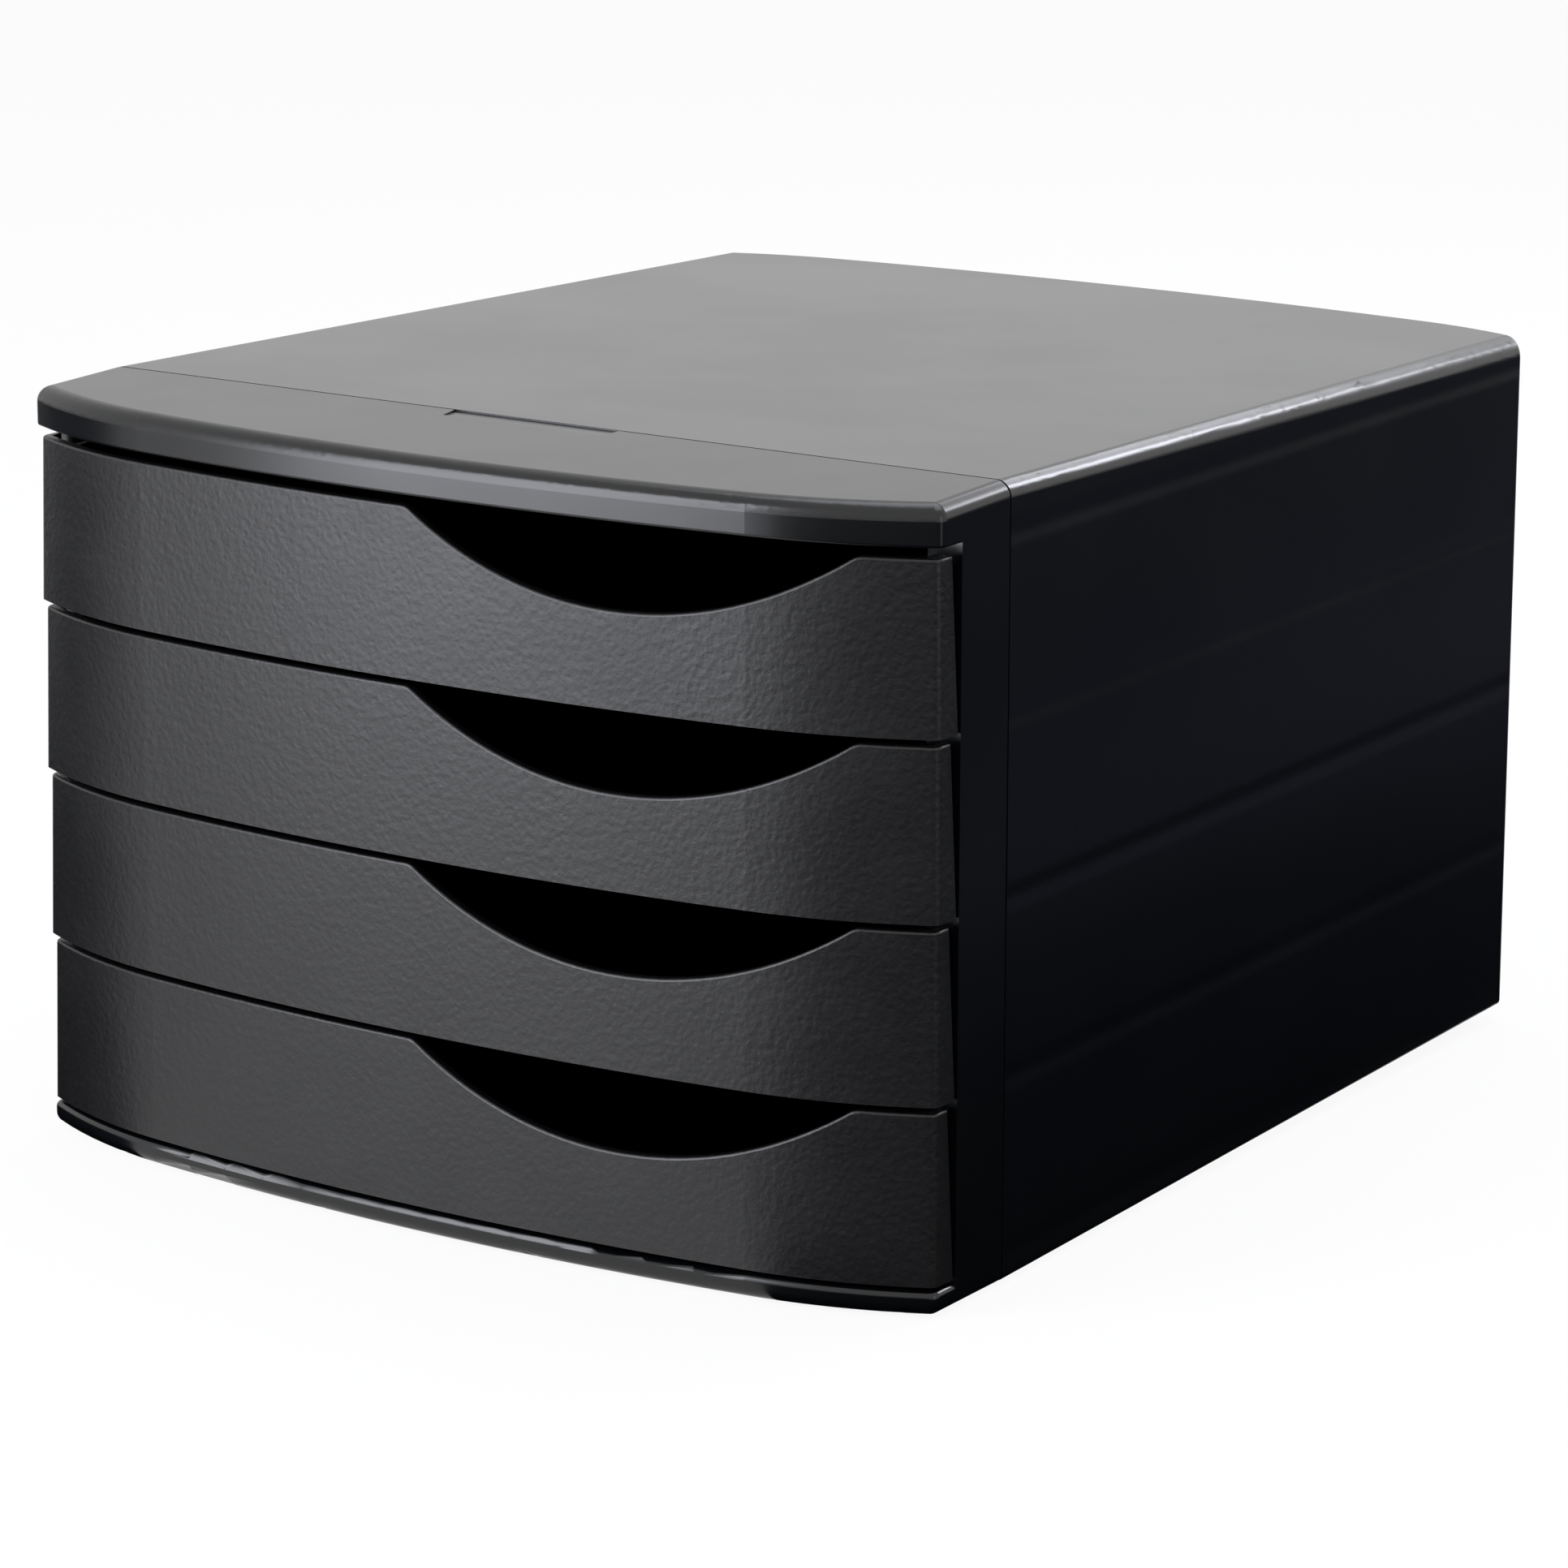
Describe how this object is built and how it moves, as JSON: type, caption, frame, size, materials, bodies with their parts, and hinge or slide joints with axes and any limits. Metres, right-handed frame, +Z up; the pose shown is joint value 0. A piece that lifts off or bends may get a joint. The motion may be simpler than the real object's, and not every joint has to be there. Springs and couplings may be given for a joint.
{
  "type": "desktop drawer box",
  "caption": "Black moulded desktop box of stacked pull-out paper drawers: glossy housing and bowed front frame, matte bowed drawer fronts with a scalloped finger cut-out.",
  "frame": {"origin": "centre of the footprint, on the surface that the rubber feet stand on", "axes": "+Z up, +Y towards the back, so the drawers pull out along -Y, and +X to the right seen from the front"},
  "size_m": [0.29, 0.3568, 0.2095],
  "materials": {
    "gloss_housing": "satin gloss",
    "gloss_frame": "gloss",
    "gloss_tray": "satin",
    "grained_front": "fine matte grain",
    "rubber_foot": "matte"
  },
  "bodies": {
    "case": {"housing": "gloss_housing", "front_frame": "gloss_frame", "foot_front_left": "rubber_foot", "foot_front_right": "rubber_foot", "foot_rear_left": "rubber_foot", "foot_rear_right": "rubber_foot"},
    "drawer_1": {"drawer_tray_1": "gloss_tray", "drawer_front_1": "grained_front"},
    "drawer_2": {"drawer_tray_2": "gloss_tray", "drawer_front_2": "grained_front"},
    "drawer_3": {"drawer_tray_3": "gloss_tray", "drawer_front_3": "grained_front"},
    "drawer_4": {"drawer_tray_4": "gloss_tray", "drawer_front_4": "grained_front"}
  },
  "joints": [
    {"name": "drawer_1_slide", "type": "slide", "parent": "case", "child": "drawer_1", "axis": [0, -1, 0], "range_m": [0, 0.22]},
    {"name": "drawer_2_slide", "type": "slide", "parent": "case", "child": "drawer_2", "axis": [0, -1, 0], "range_m": [0, 0.22]},
    {"name": "drawer_3_slide", "type": "slide", "parent": "case", "child": "drawer_3", "axis": [0, -1, 0], "range_m": [0, 0.22]},
    {"name": "drawer_4_slide", "type": "slide", "parent": "case", "child": "drawer_4", "axis": [0, -1, 0], "range_m": [0, 0.22]}
  ]
}
